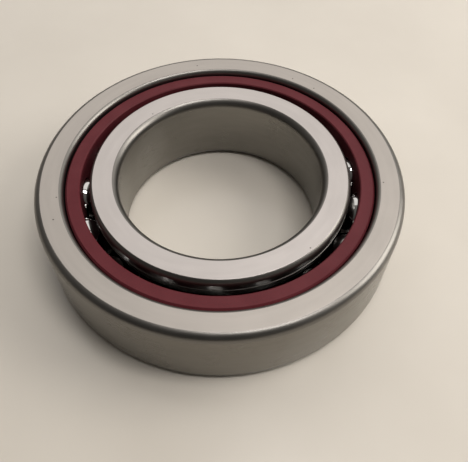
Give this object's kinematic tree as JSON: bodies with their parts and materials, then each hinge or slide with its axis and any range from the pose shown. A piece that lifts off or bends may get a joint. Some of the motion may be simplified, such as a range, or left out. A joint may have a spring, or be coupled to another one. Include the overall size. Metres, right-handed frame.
{
  "type": "angular contact ball bearing",
  "caption": "Single-row angular contact ball bearing with ground steel rings, steel balls and a one-piece laminated cage guided by the outer ring.",
  "frame": {"origin": "centre of the lower side face, on the bearing axis, in the plane of both rings' lower faces", "axes": "+Z along the bearing axis, towards the side where the outer ring has its high shoulder and wide face"},
  "size_m": [0.09, 0.09, 0.02],
  "materials": {
    "ring_steel": "fine ground",
    "ball_steel": "lapped mirror",
    "cage_laminate": "machined cloth laminate"
  },
  "bodies": {
    "outer_ring": {"outer_ring": "ring_steel"},
    "inner_ring": {"inner_ring": "ring_steel"},
    "cage": {"cage": "cage_laminate"},
    "ball_01": {"ball_01": "ball_steel"},
    "ball_02": {"ball_02": "ball_steel"},
    "ball_03": {"ball_03": "ball_steel"},
    "ball_04": {"ball_04": "ball_steel"},
    "ball_05": {"ball_05": "ball_steel"},
    "ball_06": {"ball_06": "ball_steel"},
    "ball_07": {"ball_07": "ball_steel"},
    "ball_08": {"ball_08": "ball_steel"},
    "ball_09": {"ball_09": "ball_steel"},
    "ball_10": {"ball_10": "ball_steel"},
    "ball_11": {"ball_11": "ball_steel"},
    "ball_12": {"ball_12": "ball_steel"},
    "ball_13": {"ball_13": "ball_steel"},
    "ball_14": {"ball_14": "ball_steel"},
    "ball_15": {"ball_15": "ball_steel"},
    "ball_16": {"ball_16": "ball_steel"},
    "ball_17": {"ball_17": "ball_steel"}
  },
  "joints": [
    {"name": "inner_ring_spin", "type": "hinge", "parent": "outer_ring", "child": "inner_ring", "pos_m": [0, 0, 0.01], "axis": [0, 0, 1], "continuous": true},
    {"name": "cage_orbit", "type": "hinge", "parent": "outer_ring", "child": "cage", "pos_m": [0, 0, 0.01], "axis": [0, 0, 1], "continuous": true},
    {"name": "ball_01_spin", "type": "hinge", "parent": "cage", "child": "ball_01", "pos_m": [0.0344, 0.00643, 0.01], "axis": [-0.4154, -0.0777, 0.9063], "continuous": true},
    {"name": "ball_02_spin", "type": "hinge", "parent": "cage", "child": "ball_02", "pos_m": [0.02976, 0.01843, 0.01], "axis": [-0.3593, -0.2225, 0.9063], "continuous": true},
    {"name": "ball_03_spin", "type": "hinge", "parent": "cage", "child": "ball_03", "pos_m": [0.02109, 0.02793, 0.01], "axis": [-0.2547, -0.3373, 0.9063], "continuous": true},
    {"name": "ball_04_spin", "type": "hinge", "parent": "cage", "child": "ball_04", "pos_m": [0.00958, 0.03366, 0.01], "axis": [-0.1157, -0.4065, 0.9063], "continuous": true},
    {"name": "ball_05_spin", "type": "hinge", "parent": "cage", "child": "ball_05", "pos_m": [-0.00323, 0.03485, 0.01], "axis": [0.039, -0.4208, 0.9063], "continuous": true},
    {"name": "ball_06_spin", "type": "hinge", "parent": "cage", "child": "ball_06", "pos_m": [-0.0156, 0.03133, 0.01], "axis": [0.1884, -0.3783, 0.9063], "continuous": true},
    {"name": "ball_07_spin", "type": "hinge", "parent": "cage", "child": "ball_07", "pos_m": [-0.02587, 0.02358, 0.01], "axis": [0.3123, -0.2847, 0.9063], "continuous": true},
    {"name": "ball_08_spin", "type": "hinge", "parent": "cage", "child": "ball_08", "pos_m": [-0.03264, 0.01264, 0.01], "axis": [0.3941, -0.1527, 0.9063], "continuous": true},
    {"name": "ball_09_spin", "type": "hinge", "parent": "cage", "child": "ball_09", "pos_m": [-0.035, 0, 0.01], "axis": [0.4226, 0, 0.9063], "continuous": true},
    {"name": "ball_10_spin", "type": "hinge", "parent": "cage", "child": "ball_10", "pos_m": [-0.03264, -0.01264, 0.01], "axis": [0.3941, 0.1527, 0.9063], "continuous": true},
    {"name": "ball_11_spin", "type": "hinge", "parent": "cage", "child": "ball_11", "pos_m": [-0.02587, -0.02358, 0.01], "axis": [0.3123, 0.2847, 0.9063], "continuous": true},
    {"name": "ball_12_spin", "type": "hinge", "parent": "cage", "child": "ball_12", "pos_m": [-0.0156, -0.03133, 0.01], "axis": [0.1884, 0.3783, 0.9063], "continuous": true},
    {"name": "ball_13_spin", "type": "hinge", "parent": "cage", "child": "ball_13", "pos_m": [-0.00323, -0.03485, 0.01], "axis": [0.039, 0.4208, 0.9063], "continuous": true},
    {"name": "ball_14_spin", "type": "hinge", "parent": "cage", "child": "ball_14", "pos_m": [0.00958, -0.03366, 0.01], "axis": [-0.1157, 0.4065, 0.9063], "continuous": true},
    {"name": "ball_15_spin", "type": "hinge", "parent": "cage", "child": "ball_15", "pos_m": [0.02109, -0.02793, 0.01], "axis": [-0.2547, 0.3373, 0.9063], "continuous": true},
    {"name": "ball_16_spin", "type": "hinge", "parent": "cage", "child": "ball_16", "pos_m": [0.02976, -0.01843, 0.01], "axis": [-0.3593, 0.2225, 0.9063], "continuous": true},
    {"name": "ball_17_spin", "type": "hinge", "parent": "cage", "child": "ball_17", "pos_m": [0.0344, -0.00643, 0.01], "axis": [-0.4154, 0.0777, 0.9063], "continuous": true}
  ],
  "couplings": [
    {"joint": "cage_orbit", "follows": "inner_ring_spin", "ratio": 0.4332},
    {"joint": "ball_01_spin", "follows": "inner_ring_spin", "ratio": -3.3313},
    {"joint": "ball_02_spin", "follows": "inner_ring_spin", "ratio": -3.3313},
    {"joint": "ball_03_spin", "follows": "inner_ring_spin", "ratio": -3.3313},
    {"joint": "ball_04_spin", "follows": "inner_ring_spin", "ratio": -3.3313},
    {"joint": "ball_05_spin", "follows": "inner_ring_spin", "ratio": -3.3313},
    {"joint": "ball_06_spin", "follows": "inner_ring_spin", "ratio": -3.3313},
    {"joint": "ball_07_spin", "follows": "inner_ring_spin", "ratio": -3.3313},
    {"joint": "ball_08_spin", "follows": "inner_ring_spin", "ratio": -3.3313},
    {"joint": "ball_09_spin", "follows": "inner_ring_spin", "ratio": -3.3313},
    {"joint": "ball_10_spin", "follows": "inner_ring_spin", "ratio": -3.3313},
    {"joint": "ball_11_spin", "follows": "inner_ring_spin", "ratio": -3.3313},
    {"joint": "ball_12_spin", "follows": "inner_ring_spin", "ratio": -3.3313},
    {"joint": "ball_13_spin", "follows": "inner_ring_spin", "ratio": -3.3313},
    {"joint": "ball_14_spin", "follows": "inner_ring_spin", "ratio": -3.3313},
    {"joint": "ball_15_spin", "follows": "inner_ring_spin", "ratio": -3.3313},
    {"joint": "ball_16_spin", "follows": "inner_ring_spin", "ratio": -3.3313},
    {"joint": "ball_17_spin", "follows": "inner_ring_spin", "ratio": -3.3313}
  ]
}
